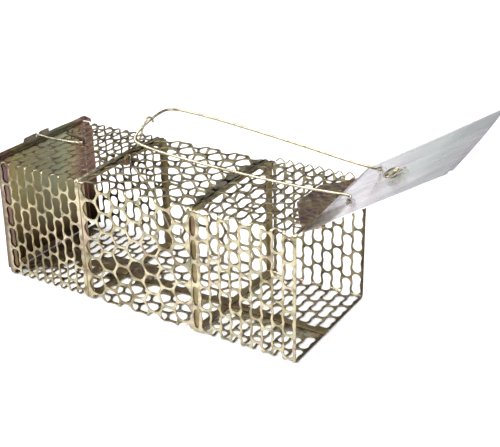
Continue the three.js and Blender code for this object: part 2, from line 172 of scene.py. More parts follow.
def catmull_rom(points, per_span=10):
    """A smooth centripetal curve through the points."""
    knots = [Vector(p) for p in points]
    knots = [2 * knots[0] - knots[1]] + knots + [2 * knots[-1] - knots[-2]]
    curve = []
    for a, b, c, d in zip(knots, knots[1:], knots[2:], knots[3:]):
        t0 = 0.0
        t1 = t0 + max((b - a).length, 1e-4) ** 0.5
        t2 = t1 + max((c - b).length, 1e-4) ** 0.5
        t3 = t2 + max((d - c).length, 1e-4) ** 0.5
        for i in range(per_span):
            t = t1 + (t2 - t1) * i / per_span
            ab = a * ((t1 - t) / (t1 - t0)) + b * ((t - t0) / (t1 - t0))
            bc = b * ((t2 - t) / (t2 - t1)) + c * ((t - t1) / (t2 - t1))
            cd = c * ((t3 - t) / (t3 - t2)) + d * ((t - t2) / (t3 - t2))
            abc = ab * ((t2 - t) / (t2 - t0)) + bc * ((t - t0) / (t2 - t0))
            bcd = bc * ((t3 - t) / (t3 - t1)) + cd * ((t - t1) / (t3 - t1))
            curve.append(abc * ((t2 - t) / (t2 - t1)) + bcd * ((t - t1) / (t2 - t1)))
    curve.append(knots[-2])
    return curve


def wire(name, points, radius, body, replaced=(), per_span=10):
    """A round wire bent through the points, with closed ends."""
    curve = bpy.data.curves.new(name, "CURVE")
    curve.dimensions = "3D"
    curve.bevel_depth = radius
    curve.bevel_resolution = 4
    curve.use_fill_caps = True
    spline = curve.splines.new("POLY")
    path = catmull_rom(points, per_span)
    spline.points.add(len(path) - 1)
    flat = [value for p in path for value in (p.x, p.y, p.z, 1)]
    spline.points.foreach_set("co", flat)
    obj = new_object(name, mesh_of_curve(curve))
    return finish_mesh(obj, body, replaced, sharp=50)


# ------------------------------------------------------------------ materials


class Look:
    """A material whose nodes are added one call at a time."""

    def __init__(self, name, roughness, metallic):
        self.material = bpy.data.materials.new(name)
        self.material.use_nodes = True
        self.tree = self.material.node_tree
        self.shader = self.tree.nodes["Principled BSDF"]
        self.shader.inputs["Roughness"].default_value = roughness
        self.shader.inputs["Metallic"].default_value = metallic
        self.position = self.tree.nodes.new("ShaderNodeTexCoord").outputs["Object"]

    def add(self, kind, **inputs):
        node = self.tree.nodes.new("ShaderNode" + kind)
        for key, value in inputs.items():
            self.feed(node.inputs[key], value)
        return node

    def feed(self, socket, value):
        if isinstance(value, bpy.types.NodeSocket):
            self.tree.links.new(value, socket)
        else:
            socket.default_value = value

    def noise(self, scale, detail=3.0, stretch=(1, 1, 1)):
        mapping = self.add("Mapping", Vector=self.position, Scale=stretch)
        texture = self.add(
            "TexNoise", Vector=mapping.outputs[0], Scale=scale, Detail=detail
        )
        return texture.outputs[0]

    def ramp(self, factor, *stops):
        node = self.add("ValToRGB", Fac=factor)
        elements = node.color_ramp.elements
        while len(elements) < len(stops):
            elements.new(0.5)
        for element, (place, colour) in zip(elements, stops):
            element.position = place
            element.color = (*colour, 1) if isinstance(colour, tuple) else (colour,) * 3 + (1,)
        return node.outputs[0]

    def mix(self, factor, first, second, blend="MIX"):
        node = self.tree.nodes.new("ShaderNodeMix")
        node.data_type = "RGBA"
        node.blend_type = blend
        for socket, value in ((0, factor), (6, first), (7, second)):
            if isinstance(value, tuple):
                value = (*value, 1)
            self.feed(node.inputs[socket], value)
        return node.outputs[2]

    def math(self, operation, first, second=0.0):
        node = self.tree.nodes.new("ShaderNodeMath")
        node.operation = operation
        self.feed(node.inputs[0], first)
        self.feed(node.inputs[1], second)
        return node.outputs[0]

    def axis(self, index):
        """X, Y or Z in metres. Before a ramp, 0.5 is added where the value can be negative."""
        return self.add("SeparateXYZ", Vector=self.position).outputs[index]

    def facing(self, blend=0.4):
        return self.add("LayerWeight", Blend=blend).outputs["Facing"]

    def bump(self, height, strength, distance):
        node = self.add("Bump", Height=height, Strength=strength, Distance=distance)
        self.feed(self.shader.inputs["Normal"], node.outputs[0])

    def colour(self, value):
        self.feed(self.shader.inputs["Base Color"], value)

    def roughness(self, value):
        self.feed(self.shader.inputs["Roughness"], value)


def beyond_near_wall(look):
    """0 on the near wall, 1 on the roof, the floor and the far wall."""
    return look.ramp(look.math("ADD", look.axis(1), 0.5), (0.436, 0.0), (0.44, 1.0))


def painted_shade_off_near_wall(look):
    """Painted shade: paler on the near wall than on the other faces, which are darkened to 0.84 as
    if less lit.
    """
    return look.ramp(beyond_near_wall(look), (0.0, 1.0), (1.0, 0.84))


def painted_shade_edge_look():
    """Painted shade for the punched edges of the sheet and the margins tucked under a seam: dark
    brown.
    """
    look = Look("painted_shade_edge", 0.42, 0.9)
    film = look.ramp(
        look.noise(45, 3),
        (0.34, (0.16, 0.12, 0.055)),
        (0.5, (0.31, 0.25, 0.13)),
        (0.64, (0.20, 0.13, 0.08)),
    )
    look.colour(look.mix(1.0, film, painted_shade_off_near_wall(look), "MULTIPLY"))
    look.roughness(look.ramp(look.noise(140, 3), (0.3, 0.34), (0.7, 0.52)))
    look.bump(look.noise(400, 2), 0.2, 0.0003)
    return look.material


def chromated_mesh_look():
    """Yellow chromate over zinc: cream, olive and brown in soft patches."""
    look = Look("chromated_mesh", 0.3, 0.97)
    patches = look.ramp(
        look.noise(24, 3),
        (0.32, (0.17, 0.13, 0.08)),
        (0.44, (0.38, 0.33, 0.20)),
        (0.56, (0.62, 0.56, 0.40)),
        (0.68, (0.30, 0.24, 0.16)),
    )
    rainbow = look.ramp(
        look.noise(60, 2),
        (0.35, (0.40, 0.24, 0.28)),
        (0.5, (0.56, 0.50, 0.28)),
        (0.65, (0.30, 0.38, 0.32)),
    )
    film = look.mix(0.25, patches, rainbow)
    stains = look.ramp(look.noise(150, 4), (0.36, 0.42), (0.54, 1.0))
    stained = look.mix(1.0, film, stains, "MULTIPLY")
    # Painted shade: the roof, the floor and the far wall are darkened.
    with_painted_shade = look.mix(1.0, stained, painted_shade_off_near_wall(look), "MULTIPLY")
    mouth = look.ramp(look.axis(0), (0.1572, 0.0), (0.1585, 0.75))
    rim = look.math("MULTIPLY", mouth, beyond_near_wall(look))
    rimmed = look.mix(rim, with_painted_shade, (0.09, 0.055, 0.035))
    back = look.ramp(look.math("ADD", look.axis(0), 0.5), (0.3412, 0.9), (0.3420, 0.0))
    look.colour(look.mix(back, rimmed, (0.11, 0.07, 0.075)))
    look.roughness(look.ramp(look.noise(120, 3), (0.3, 0.18), (0.7, 0.36)))
    look.bump(look.noise(320, 2), 0.35, 0.0005)
    return look.material


def end_wall_look():
    """The iridescent film on the solid rear sheet, in upright bands of colour, with painted shade
    towards the bottom and a painted highlight along the far bend.
    """
    look = Look("end_wall", 0.3, 0.95)
    wobble = look.math("MULTIPLY", look.noise(18, 3), 0.4)
    along = look.math("MULTIPLY_ADD", look.axis(1), 6.2)
    along.node.inputs[2].default_value = 0.3
    film = look.ramp(
        look.math("ADD", along, wobble),
        (0.06, (0.11, 0.065, 0.085)),
        (0.17, (0.30, 0.175, 0.11)),
        (0.26, (0.31, 0.27, 0.11)),
        (0.38, (0.26, 0.235, 0.12)),
        (0.50, (0.22, 0.225, 0.15)),
        (0.62, (0.26, 0.29, 0.18)),
        (0.74, (0.36, 0.31, 0.16)),
        (0.86, (0.44, 0.29, 0.24)),
        (0.96, (0.60, 0.38, 0.42)),
    )
    # Painted shade: the film turns dark brown towards the bottom, nearly black at the foot by the
    # floor.
    lower = look.ramp(look.axis(2), (0.015, 0.0), (0.075, 1.0))
    foot = look.ramp(look.axis(2), (0.006, 0.0), (0.010, 1.0))
    bottom_painted_shade = look.mix(foot, (0.06, 0.04, 0.025), (0.15, 0.10, 0.05))
    film_shaded_to_bottom = look.mix(lower, bottom_painted_shade, film)
    top_edge = look.ramp(look.axis(2), (0.1212, 0.0), (0.1225, 0.7))
    rubbed = look.mix(top_edge, film_shaded_to_bottom, (0.20, 0.165, 0.14))
    # Painted highlight: a cream line along the bend into the far flange.
    bend = look.ramp(
        look.axis(1), (0.0600, 0.0), (0.0606, 0.85), (0.0618, 0.85), (0.0622, 0.0)
    )
    look.colour(look.mix(bend, rubbed, (0.85, 0.75, 0.5)))
    look.roughness(look.ramp(look.noise(90, 3), (0.3, 0.26), (0.7, 0.42)))
    look.bump(look.noise(60, 2), 0.15, 0.0008)
    return look.material


def dark_sheet_look():
    """The small folded brackets and plates: brown and violet, rubbed to gold in spots."""
    look = Look("dark_sheet", 0.32, 0.95)
    film = look.ramp(
        look.noise(34, 4),
        (0.34, (0.10, 0.05, 0.07)),
        (0.46, (0.16, 0.10, 0.08)),
        (0.56, (0.22, 0.17, 0.09)),
        (0.68, (0.13, 0.08, 0.11)),
    )
    cells = look.add("TexVoronoi", Vector=look.position, Scale=120)
    cells.feature = "DISTANCE_TO_EDGE"
    net = look.ramp(cells.outputs["Distance"], (0.03, 0.3), (0.14, 0.0))
    spots = look.ramp(look.noise(130, 4), (0.54, 0.0), (0.66, 1.0))
    rubbed = look.math("MAXIMUM", net, spots)
    look.colour(look.mix(rubbed, film, (0.50, 0.43, 0.28)))
    look.roughness(look.ramp(look.noise(110, 3), (0.3, 0.28), (0.7, 0.45)))
    look.bump(look.noise(200, 2), 0.2, 0.0005)
    return look.material


def gold_wire_look():
    """Pale gold wire with small dull spots, and painted shade along its outline."""
    look = Look("gold_wire", 0.3, 1.0)
    tint = look.ramp(
        look.noise(35, 3),
        (0.35, (0.30, 0.26, 0.17)),
        (0.55, (0.50, 0.45, 0.32)),
        (0.7, (0.42, 0.38, 0.29)),
    )
    spots = look.ramp(look.noise(420, 3), (0.36, 0.55), (0.5, 1.0))
    spotted = look.mix(1.0, tint, spots, "MULTIPLY")
    # Painted shade: darker where the wire turns away from the camera.
    edge = look.ramp(look.facing(0.5), (0.4, 0.0), (0.8, 0.85))
    look.colour(look.mix(edge, spotted, (0.09, 0.075, 0.045)))
    look.feed(look.shader.inputs["Specular Tint"], (0.35, 0.33, 0.3, 1))
    look.roughness(look.ramp(look.noise(200, 3), (0.3, 0.22), (0.7, 0.38)))
    look.bump(look.noise(900, 2), 0.1, 0.0002)
    return look.material


def galvanised_look():
    """Bright galvanised sheet with faint streaks and tints, duller towards its free end, with a
    painted reflection of the roof and hinge plate beside the rod at the near end.
    """
    look = Look("galvanised", 0.1, 0.72)
    streaks = look.noise(11, 5, (1.5, 6, 1.5))
    tint = look.ramp(
        look.noise(15, 2),
        (0.36, (0.79, 0.72, 0.78)),
        (0.5, (0.79, 0.79, 0.82)),
        (0.64, (0.72, 0.78, 0.76)),
    )
    shade = look.ramp(streaks, (0.38, 0.8), (0.58, 1.0))
    worn = look.mix(1.0, tint, shade, "MULTIPLY")
    reach = look.math("ADD", look.axis(0), look.math("MULTIPLY", look.noise(30, 4), 0.05))
    dull = look.ramp(reach, (0.27, 0.0), (0.33, 0.6))
    faded = look.mix(dull, worn, (0.5, 0.5, 0.52))
    # Painted reflection: a mottled brown patch beside the rod at the near end stands for the roof
    # and hinge plate mirrored in the sheet.
    beside_rod = look.ramp(look.axis(0), (0.189, 0.85), (0.195, 0.0))
    near_end = look.ramp(look.math("ADD", look.axis(1), 0.5), (0.464, 1.0), (0.474, 0.0))
    painted_reflection = look.ramp(
        look.noise(95, 4),
        (0.36, (0.04, 0.028, 0.018)),
        (0.5, (0.12, 0.09, 0.045)),
        (0.62, (0.24, 0.20, 0.13)),
    )
    look.colour(look.mix(look.math("MULTIPLY", beside_rod, near_end), faded, painted_reflection))
    scratches = look.noise(60, 4, (1, 5, 1))
    look.roughness(look.ramp(scratches, (0.3, 0.16), (0.62, 0.24), (0.75, 0.34)))
    look.bump(look.noise(38, 1, (1, 1.6, 1)), 0.1, 0.001)
    return look.material


# ------------------------------------------------------------------ perforated bands

ARC = math.pi / 2 * (BEND_RADIUS - SHEET / 2)
NEAR_FLOOR = FLOOR_SEAM[1] + HALF_WIDTH - BEND_RADIUS
WALL = HEIGHT - 2 * BEND_RADIUS
ROOF = 2 * (HALF_WIDTH - BEND_RADIUS)
FAR_FLOOR = HALF_WIDTH - BEND_RADIUS - FLOOR_SEAM[0]
# Along the girth: floor to the near side, up, over the roof, down, and back on the floor.
RUNS = (NEAR_FLOOR, WALL, ROOF, WALL, FAR_FLOOR)
STARTS = [sum(RUNS[:i]) + i * ARC for i in range(len(RUNS))]
GIRTH = sum(RUNS) + 4 * ARC
FLOOR_STEP = [GIRTH - run for run in FLOOR_TUCK_RUN]
SLOT_PITCH = 22.6
ROUND_PITCH = 19.2


def along_near_wall(height):
    """The place along the girth of a height on the near wall."""
    return STARTS[1] + height - BEND_RADIUS


def along_roof(y):
    """The place along the girth of a Y on the roof."""
    return STARTS[2] + y + HALF_WIDTH - BEND_RADIUS


def girth_place(w):
    """The middle of the sheet at w along the girth, with the outward direction (Y, Z)."""
    corner = HALF_WIDTH - BEND_RADIUS
    top = HEIGHT - BEND_RADIUS
    starts = (
        ((FLOOR_SEAM[1], SHEET / 2), (-1, 0)),
        ((-HALF_WIDTH + SHEET / 2, BEND_RADIUS), (0, 1)),
        ((-corner, HEIGHT - SHEET / 2), (1, 0)),
        ((HALF_WIDTH - SHEET / 2, top), (0, -1)),
        ((corner, SHEET / 2), (-1, 0)),
    )
    side = max(i for i in range(5) if w >= STARTS[i] - 1e-6 or i == 0)
    (y, z), (dy, dz) = starts[side]
    run = min(w - STARTS[side], RUNS[side])
    turned = min(max((w - STARTS[side] - RUNS[side]) / ARC, 0.0), 1.0) * math.pi / 2
    y, z = y + dy * run, z + dz * run
    out_y, out_z = -dz, dy
    bend = BEND_RADIUS - SHEET / 2
    if turned > 0 and side < 4:
        y += bend * (math.sin(turned) * dy - (1 - math.cos(turned)) * out_y)
        z += bend * (math.sin(turned) * dz - (1 - math.cos(turned)) * out_z)
        out_y, out_z = (
            math.cos(turned) * out_y + math.sin(turned) * dy,
            math.cos(turned) * out_z + math.sin(turned) * dz,
        )
    return y, z, out_y, out_z


BEND_LINES = [
    STARTS[i] + RUNS[i] + ARC * part for i in range(4) for part in (0, 0.25, 0.5, 0.75, 1)
]

# How far each seam wanders from its place, along the girth.
REAR_WANDER = (
    (along_roof(-64), 0), (along_roof(-20), -3), (along_roof(20), -5), (along_roof(64), -1),
)
FRONT_WANDER = (
    (along_roof(-70), 0), (along_roof(-62), 1.5), (along_roof(-23), -5.5),
    (along_roof(10), -8.5), (along_roof(50), -5), (along_roof(66), 0.8),
)
WANDER_REACH = 34


def wander(u, w):
    """Moves the sheet near a seam along with the seam."""
    shift = 0
    for seam, table in ((REAR_SEAM, REAR_WANDER), (FRONT_SEAM, FRONT_WANDER)):
        near = max(0.0, 1 - abs(u - seam) / WANDER_REACH)
        shift += near * near * (3 - 2 * near) * np.interp(w, *zip(*table))
    return u + shift


def smooth(value, low, high):
    """0 below low, 1 above high, and an even S between them."""
    t = min(max((value - low) / (high - low), 0.0), 1.0)
    return t * t * (3 - 2 * t)


def fold(u, w, t, tucked):
    """Wraps a point of the flat sheet round the cage."""
    low, high = tucked
    inwards = smooth(w, *FLOOR_STEP) * TUCK
    inwards += (smooth(low - u, 0, TUCK_RUN) + smooth(u - high, 0, TUCK_RUN)) * TUCK
    y, z, out_y, out_z = girth_place(w)
    depth = t - inwards
    return Vector((wander(u, w), y + out_y * depth, z + out_z * depth))


def peanut(u, w):
    """A slot with two round lobes, the ends of a punched chain plate."""
    lobe, end, waist, pitch = 4.5, 4.35, 3.6, 6.0
    outline = []
    for side in (1, -1):
        for i in range(9):
            angle = math.pi * (i / 8 - 0.5) + (0.5 if side > 0 else 1.5) * math.pi
            outline.append((
                u + lobe * math.cos(angle),
                w + side * pitch + end * math.sin(angle),
            ))
        for along in (0.6, 0.3, 0.0, -0.3, -0.6):
            half = waist + (lobe - waist) * (1 - math.cos(math.pi * along)) / 2
            outline.append((u - side * half, w + side * along * pitch))
    return outline


def round_hole(u, w):
    """A wide hole that fills most of its six-sided cell."""
    mean_radius, corner_reach, squeeze, points = 8.62, 0.28, 0.985, 30
    outline = []
    for i in range(points):
        angle = 2 * math.pi * i / points
        radius = mean_radius + corner_reach * math.cos(6 * angle)
        outline.append((u + radius * math.cos(angle) * squeeze, w + radius * math.sin(angle)))
    return outline


def hole_rows(columns, pitch, first_rows, hole, limits, margin):
    """Every hole that stays clear of the band's edges, in columns along the girth.

    first_rows gives the height of a hole on the near wall, for even and for odd columns.
    """
    holes = []
    low, high = limits
    for i, u in enumerate(columns):
        w = along_near_wall(first_rows[i % 2]) % pitch
        while w < GIRTH:
            outline = hole(u, w)
            us = [p[0] for p in outline]
            ws = [p[1] for p in outline]
            inside = min(us) > low + margin and max(us) < high - margin
            if inside and min(ws) > margin and max(ws) < GIRTH - margin:
                holes.append(outline[::-1])
            w += pitch
    return holes


def mark_dark_faces(mesh, tucked):
    """The cut edges and the tucked margins take the second, darker material, which paints shade on
    them.
    """
    steepest = 0.8  # a face whose normal has a smaller upright part is a cut edge
    reach = TUCK_RUN - 0.1
    low, high = tucked[0] - reach, tucked[1] + reach
    for face in mesh.polygons:
        cut = abs(face.normal.z) < steepest
        margin = not low < face.center.x < high
        overlapped = face.center.y > FLOOR_STEP[0]
        face.material_index = int(cut or margin or overlapped)


def band(name, limits, holes, tucked):
    """A perforated sheet folded once round the girth, set inwards past the two tucked places."""
    low, high = limits
    rim = [(low, 0), (high, 0), (high, GIRTH), (low, GIRTH)]
    mesh = flat_sheet(name, [rim] + holes, edge=0.4, steps=2)
    cut_across(mesh, BEND_LINES + FLOOR_STEP)
    steps = [tucked[0] - TUCK_RUN, tucked[0], tucked[1], tucked[1] + TUCK_RUN]
    cut_across(mesh, steps, axis=0)
    mark_dark_faces(mesh, tucked)
    reshape(mesh, lambda u, w, t: fold(u, w, t, tucked))
    obj = new_object(name, mesh)
    which = name.split("_")[0]
    faces = ("near_wall", "far_wall", "roof", "floor")
    replaced = [f"{which}_{face}" for face in faces]
    return finish_mesh(obj, "cage", replaced, sharp=40)


def seam_slots(u, start):
    """A narrow column of slots along a seam; the tucked sheet shows dark through them."""
    half_width, half_length = 2.7, 9.4
    first, last = 12, GIRTH - 14
    slots = []
    turn = [-2 * math.pi * i / 24 for i in range(24)]
    w = start % SLOT_PITCH
    while w < last:
        if w > first:
            slots.append([
                (
                    u + half_width * math.copysign(abs(math.cos(a)) ** 0.7, math.cos(a)),
                    w + half_length * math.copysign(abs(math.sin(a)) ** 0.8, math.sin(a)),
                )
                for a in turn
            ])
        w += SLOT_PITCH
    return slots


def rear_band():
    """Two-lobed slots. The front margin is tucked under the middle band."""
    columns = [-151.8 + 10.2 * i for i in range(9)]
    limits = (-HALF_LENGTH, REAR_SEAM)
    holes = hole_rows(columns, SLOT_PITCH, (109.5, 116), peanut, limits, margin=1.0)
    sheet = (-HALF_LENGTH, REAR_SEAM + 4)
    return band("rear_band", sheet, holes, (-NO_TUCK, REAR_SEAM - 5.5))


def middle_band():
    """Wide round holes. The front margin is tucked under the front band."""
    columns = [-50.4 + 16.35 * i for i in range(7)]
    limits = (REAR_SEAM, FRONT_SEAM)
    holes = hole_rows(columns, ROUND_PITCH, (112.7, 103.4), round_hole, limits, margin=0)
    sheet = (REAR_SEAM - 1.2, FRONT_SEAM + 4)
    return band("middle_band", sheet, holes, (-NO_TUCK, FRONT_SEAM - 4.6))


def front_band():
    """Two-lobed slots, and a narrow column of slots over the middle band's tucked margin."""
    columns = [153.8 - 10.3 * i for i in range(9)]
    sheet = (FRONT_SEAM - 2.2, HALF_LENGTH)
    first_slot = 59.5
    holes = hole_rows(columns, SLOT_PITCH, (first_slot, 66), peanut, sheet, margin=1.0)
    holes += seam_slots(FRONT_SEAM + 1.9, along_near_wall(first_slot))
    return band("front_band", sheet, holes, (-NO_TUCK, NO_TUCK))


# ------------------------------------------------------------------ other pieces


def door_outline():
    """A plate with round outer corners and a slightly bowed outer edge."""
    half, lip, length, bow, radius = 65.5, 10.5, 128.0, 2.0, 9.0
    side = length - bow
    straight = half - radius
    turn = [math.radians(15 * i) for i in range(1, 6)]
    edge = [(i / 12 - 0.5) * 2 * straight for i in range(13)]
    outline = [(-lip, -half), (side - radius, -half)]
    outline += [
        (side - radius + radius * math.sin(a), -half + radius - radius * math.cos(a))
        for a in turn
    ]
    outline += [(side + bow * (1 - (y / straight) ** 2), y) for y in edge]
    outline += [
        (side - radius + radius * math.cos(a), straight + radius * math.sin(a)) for a in turn
    ]
    return outline + [(side - radius, half), (-lip, half)]


def add_door_plate():
    """The door's sheet, with shallow dents that only go inwards, away from what moves on it."""
    dent_depth, dent_size, spacing = 0.4, 45, 6
    mesh = flat_sheet("door_plate", [door_outline()], edge=0.2)
    cut_across(mesh, [-60 + spacing * i for i in range(21)])
    cut_across(mesh, [-6 + spacing * i for i in range(22)], axis=0)
    skew = Matrix.Rotation(DOOR_SKEW, 3, "Z")

    def place(x, y, z):
        flat = skew @ Vector((x, y, 0))
        ripple = min(noise.noise(Vector((x, y, 0)) / dent_size) * dent_depth, 0)
        middle = DOOR_INNER_FACE + SHEET / 2
        return HINGE_FRAME @ Vector((flat.x, flat.y, middle + z + ripple))

    reshape(mesh, place)
    obj = new_object("door_sheet", mesh)
    return finish_mesh(obj, "door", ["door_plate"], sharp=40)


def add_door_clip():
    """A clip of wire, wound in long flat turns, with its tail along the door."""
    half_length, half_height, rise, turns, steps = 6.3, 2.0, 2.7, 3, 12
    centre_x, centre_y = 50, -8
    centre_z = DOOR_OUTER_FACE + 0.3 + half_height + 1
    points = []
    for i in range(turns * steps + 1):
        angle = i * 2 * math.pi / steps - math.pi / 2
        points.append((
            centre_x + half_length * math.cos(angle),
            centre_y + rise * (i / steps - turns / 2),
            centre_z + half_height * math.sin(angle),
        ))
    x, y, z = points[-1]
    points += [(x + 5, y + 1, z), (x + 10, y + 2, z)]
    path = [on_door(*p) for p in points]
    return wire("door_clip", path, 0.8, "door", ["door_wire_clip"], 4)


def add_lock_loop():
    """One long wire: two legs from the door's staples, and an end bar on the trigger."""

    def pivot(y):
        return on_door(LOOP_ALONG_DOOR, y, LOOP_HEIGHT)

    near = pivot(-26.9)
    far = pivot(29.4)
    points = [
        pivot(-34.0), pivot(-29.3),
        (near[0] - 2, near[1], near[2] + 1.2),
        (174, -27, 144.6), (144, -28, 143.9), (97, -28, 144), (40, -28, 145.6),
        (-7, -28, 149), (-20, -28, 151.6), (-24.4, -26.6, 153.2),
        (-25.6, -22.5, 156.6), (-25.4, -12, 161.2), (-25, 2, 164.8),
        (-24.6, 14, 166.6), (-23, 23, 166.8), (-17, 29, 166), (-8, 31, 165.2),
        (20, 31, 163.8), (100, 31, 155.8), (160, 31, 148.6),
        (far[0] - 5, far[1], far[2] + 1.2),
        pivot(31.8), pivot(36.5),
    ]
    return wire("loop_wire", points, LOOP_RADIUS, "lock_loop", ["lock_loop"])


def add_trigger():
    """One wire: the eye above the loop, a coil round the trigger's pin, the bait hook."""
    pivot = centre_of("trigger_pin")
    radius, first_angle, rise, start_y = 2.15, 1.45, 0.18, -1.4
    points = [
        (-21.2, -2.6, 163.2), (-20.6, -4.4, 166.4), (-19.9, -8.4, 169.6),
        (-19.8, -12.6, 170), (-20.4, -16, 166), (-21.6, -18.8, 160),
        (-22.6, -19, 155.4), (-29, -16.8, 147), (-41, -11, 135), (-48.6, -7.6, 128.5),
    ]
    for i in range(17):
        angle = first_angle + i * math.pi / 6
        points.append((
            pivot[0] + radius * math.cos(angle),
            pivot[1] + start_y + i * rise,
            pivot[2] + radius * math.sin(angle),
        ))
    points += [
        (-49.4, -4.4, 119.8), (-43, -5, 112.5), (-31, -6, 104), (-18, -6, 84),
        (-9, -6, 67), (-5, -6, 58), (0, -6, 54), (5, -6, 57), (6, -6, 64),
    ]
    return wire("trigger_bent_wire", points, 0.9, "trigger", ["trigger_wire"])


def add_latch():
    """A hairpin of wire from the roof's staple to the rear door's top edge."""
    points = [
        (-164.6, -6.75, 127.0), (-158, -6.5, 127.0), (-150, -3.75, 125), (-136, 1.6, 122.8),
        (-124, 5, 122.2), (-118.6, 7, 122.2), (-118, 9.5, 122.2), (-118.8, 12, 122.2),
        (-124, 14, 122.2), (-134, 17, 122.5), (-148, 19, 123.4),
    ]
    return wire("latch_hairpin", points, 1.25, "rear_latch", ["rear_latch_wire"])


REAR_TOP_FACE, REAR_BOTTOM_FACE = -161.6, -166.0
REAR_TOP, REAR_BOTTOM = 125.5, 5.2
FLANGE_EDGE = -151.5
FLANGE_FACE = HALF_WIDTH - SHEET - 0.6


def rear_face(z):
    """X of the rear door's outer face: the sheet leans out towards its hinge."""
    part = (z - REAR_BOTTOM) / (REAR_TOP - REAR_BOTTOM)
    return REAR_BOTTOM_FACE + part * (REAR_TOP_FACE - REAR_BOTTOM_FACE) - SHEET


def rear_door_outline(half):
    """The rear door cut flat, from its lower near corner round over the two finger tabs."""
    flange_top, flange_shoulder = 114, 117
    far_ear = [(62, 120.5), (half - 1, 120.5), (half - 0.6, 122.6), (half - 3, 124.4)]
    far_edge = [(64, REAR_TOP), (46, REAR_TOP - 0.6), (28, REAR_TOP)]
    far_tab = [(10, 0), (9.4, 3.4), (7.6, 4), (-2.4, 4), (-4.1, 3.4), (-4.5, 0)]
    near_tab = [(-9, 0), (-9.6, 3.2), (-11.4, 4), (-23.6, 3.8), (-25.6, 3), (-26, 0)]
    outline = [(-half, REAR_BOTTOM), (half, REAR_BOTTOM)]
    outline += [(half, flange_top), (half - 3, flange_shoulder)]
    outline += [(64, flange_shoulder), (62, 118), (61.8, 120)] + far_ear + far_edge
    outline += [(u, REAR_TOP + rise) for u, rise in far_tab + near_tab]
    outline += [(-61.5, REAR_TOP), (-61.5, 120), (-64, flange_shoulder)]
    return outline + [(-half + 3, flange_shoulder), (-half, flange_top)]


def add_rear_door():
    """One folded sheet: end wall, two side flanges, two curled tabs on the top edge."""
    bend, flange, tab_curl, dent_depth, dent_size = 2.2, 12.0, 0.35, 0.3, 40
    half_back = FLANGE_FACE - bend
    arc = math.pi / 2 * (bend - SHEET / 2)
    mesh = flat_sheet("rear_door", [rear_door_outline(half_back + arc + flange)], edge=0.2)
    bends = [side * (half_back + arc * part) for side in (-1, 1) for part in (0, 0.3, 0.7, 1)]
    cut_across(mesh, bends + [15 * i for i in range(-3, 4)], axis=0)
    cut_across(mesh, [8 * i for i in range(1, 16)] + [REAR_TOP, REAR_TOP + 1.5, REAR_TOP + 3])

    def place(u, z, t):
        side = 1 if u > 0 else -1
        over = abs(u) - half_back
        depth = SHEET / 2 - t
        y, x = min(abs(u), half_back), depth
        if over > 0:
            turned = min(over / arc, 1.0) * math.pi / 2
            reach = bend - depth
            y = half_back + reach * math.sin(turned)
            x = bend - reach * math.cos(turned)
        if over >= arc:
            x = bend + (over - arc) / flange * (FLANGE_EDGE - rear_face(z) - bend)
        curl = smooth(z, REAR_TOP, REAR_TOP + 4) * tab_curl
        dent = noise.noise(Vector((u, z, 0)) / dent_size) * dent_depth * max(0, 1 - abs(u) / 60)
        return Vector((rear_face(z) + x + curl + max(dent, -0.1) * 0.6, side * y, z))

    reshape(mesh, place)
    obj = new_object("rear_door_sheet", mesh)
    return finish_mesh(obj, "rear_door", ["rear_door"], sharp=40)


def add_end_wall_bead():
    """A raised oval ring near the far top corner of the end wall."""
    centre_y, centre_z, half_width, half_height, radius = 49.5, 107.5, 7, 10.5, 0.6
    points = []
    for i in range(25):
        angle = 2 * math.pi * i / 24
        z = centre_z + half_height * math.sin(angle)
        y = centre_y + half_width * math.cos(angle)
        points.append((rear_face(z) + SHEET + radius, y, z))
    return wire("end_wall_bead", points, radius, "rear_door", (), 4)


def add_rear_knuckle():
    """The rear door's bottom edge, rolled round its hinge pin, and the lip that closes its foot."""
    outer, inner, roll_length, lip_length = 1.9, 1.3, 80, 118
    pin_x, _, pin_z = centre_of("rear_hinge_pin")
    turn = [math.radians(15 * i) for i in range(24)]
    ring = [(outer * math.cos(a), outer * math.sin(a)) for a in turn]
    leaf = [(-168.4, 3.9), (-166.2, 4.2), (-166.0, 6.4), (-167, 6.4), (-167.6, 5.2), (-168.6, 4.6)]
    bore = [(inner * math.cos(a), inner * math.sin(a)) for a in reversed(turn)]
    roll = flat_sheet("roll", [ring, bore], thickness=roll_length, edge=0.1)
    foot = [(-166.2, 5.2), (-161.9, 2.5), (-161.6, 3.1), (-165.9, 6.2)]
    web = flat_sheet("web", [leaf], thickness=roll_length, edge=0.1)
    lip = flat_sheet("lip", [foot], thickness=lip_length, edge=0.1)
    reshape(roll, lambda x, z, t: Vector((x + pin_x, -t, z + pin_z)))
    for mesh in (web, lip):
        reshape(mesh, lambda x, z, t: Vector((x, -t, z)))
    work = bmesh.new()
    for mesh in (roll, web, lip):
        work.from_mesh(mesh)
    work.to_mesh(roll)
    work.free()
    obj = new_object("rear_door_knuckle", roll)
    return finish_mesh(obj, "rear_door", sharp=40)


def add_prongs():
    """The far roof edge of the front band: its slots are cut open and stand up as prongs."""
    first_x, spacing, edge_y = 68.5, 5.1, HALF_WIDTH - 1.8
    foot, tip = HEIGHT - 0.4, HEIGHT + 3.2
    points = []
    for i in range(17):
        x = first_x + spacing * i + noise.noise(Vector((i, 0, 0)) * 1.7) * 1.6
        y = edge_y + noise.noise(Vector((i, 5, 0)) * 2.1) * 1.4
        rise = noise.noise(Vector((0, i, 3)) * 1.3) * 1.8
        points.append((x, y, tip + rise if i % 2 else foot))
    return wire("front_band_prongs", points, 0.62, "cage", (), 5)


def add_door_hem():
    """The door's rear edge, rolled over."""
    hem_x = -9.9
    points = []
    for y in range(-64, 65, 8):
        x = hem_x * math.cos(DOOR_SKEW) - y * math.sin(DOOR_SKEW)
        points.append(on_door(x, y * math.cos(DOOR_SKEW), DOOR_OUTER_FACE - 0.1))
    return wire("door_hem", points, 0.75, "door", (), 2)


